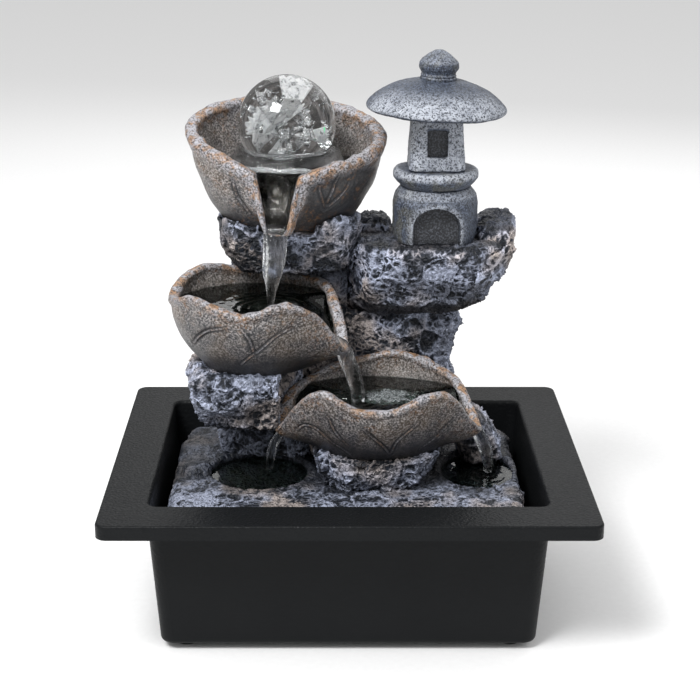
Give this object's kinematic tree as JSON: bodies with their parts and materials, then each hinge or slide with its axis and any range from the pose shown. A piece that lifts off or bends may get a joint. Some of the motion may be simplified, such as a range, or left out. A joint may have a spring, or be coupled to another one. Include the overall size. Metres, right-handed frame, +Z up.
{
  "type": "tabletop water fountain",
  "caption": "Tabletop water fountain: rock landscape with stepped leaf bowls, a stone lantern and a lit spinning ball, lifting out of a rectangular basin with a pump.",
  "frame": {"origin": "on the table, under the centre of the basin's rim", "axes": "+X to the viewer's right along the rim's long side, +Y to the back, +Z up"},
  "size_m": [0.21, 0.17, 0.2482],
  "materials": {
    "basin": "black moulded plastic with a fine leather grain, satin",
    "rubber": "soft black rubber",
    "suction": "grey translucent rubber",
    "pump_plastic": "black moulded plastic, fine spark texture",
    "dial": "dark grey moulded plastic",
    "winding": "laminated iron core with enamelled copper winding",
    "ceramic": "polished white ceramic",
    "impeller": "white moulded plastic",
    "magnet": "dark grey ferrite magnet",
    "rock": "cast resin stone, dark slate with pale blue-grey dry brushing on the ridges",
    "leaf": "cast resin leaf, grey-brown with copper and ochre dry brushing on the edges",
    "lantern_stone": "cast resin granite, pitted blue-grey with pale highlights and olive tints",
    "hose": "clear flexible tube",
    "lamp_plastic": "black moulded plastic",
    "board": "green circuit board with white light chips",
    "clear": "clear moulded plastic",
    "lead": "black sheathed twin lead",
    "ball_glass": "clear glass with crackled fracture planes inside"
  },
  "bodies": {
    "basin": {"basin": "basin", "rubber_feet": "rubber", "cord_grommet": "rubber", "pump_housing": "pump_plastic", "pump_base_plate": "pump_plastic", "pump_stator": "winding", "pump_cord_gland": "rubber", "pump_suction_cups": "suction", "pump_shaft": "ceramic", "pump_rear_bush": "rubber", "lamp_socket": "pump_plastic"},
    "impeller": {"pump_impeller": "impeller", "rotor_magnet": "magnet"},
    "pump_cover": {"pump_cover": "pump_plastic"},
    "flow_dial": {"flow_dial": "dial"},
    "sculpture": {"rock_base": "rock", "rock_column": "rock", "rock_front": "rock", "rock_left": "rock", "rock_right": "rock", "rock_top": "rock", "rock_ledge": "rock", "leaf_bowl_lower": "leaf", "leaf_bowl_middle": "leaf", "leaf_bowl_top": "leaf", "lantern_pedestal": "lantern_stone", "lantern_platform": "lantern_stone", "lantern_chamber": "lantern_stone", "lantern_roof": "lantern_stone", "lantern_finial": "lantern_stone", "water_hose": "hose", "lamp_housing": "lamp_plastic", "lamp_board": "board", "lamp_lens": "clear", "lamp_lead": "lead", "lamp_plug": "lamp_plastic"},
    "ball_seat": {"ball_seat": "clear"},
    "glass_ball": {"glass_ball": "ball_glass"}
  },
  "joints": [
    {"name": "sculpture_lift", "type": "slide", "parent": "basin", "child": "sculpture", "axis": [0, 0, 1], "range_m": [0, 0.12]},
    {"name": "seat_lift", "type": "slide", "parent": "sculpture", "child": "ball_seat", "axis": [0, 0, 1], "range_m": [0, 0.03]},
    {"name": "ball_spin", "type": "hinge", "parent": "ball_seat", "child": "glass_ball", "pos_m": [-0.0273, 0.028, 0.2148], "axis": [0, 0, 1], "continuous": true},
    {"name": "impeller_spin", "type": "hinge", "parent": "basin", "child": "impeller", "pos_m": [-0.0273, 0.043, 0.031], "axis": [1, 0, 0], "continuous": true},
    {"name": "cover_pull", "type": "slide", "parent": "basin", "child": "pump_cover", "axis": [1, 0, 0], "range_m": [0, 0.02]},
    {"name": "dial_turn", "type": "hinge", "parent": "pump_cover", "child": "flow_dial", "pos_m": [-0.0053, 0.043, 0.031], "axis": [1, 0, 0], "range_deg": [0, 90]}
  ]
}
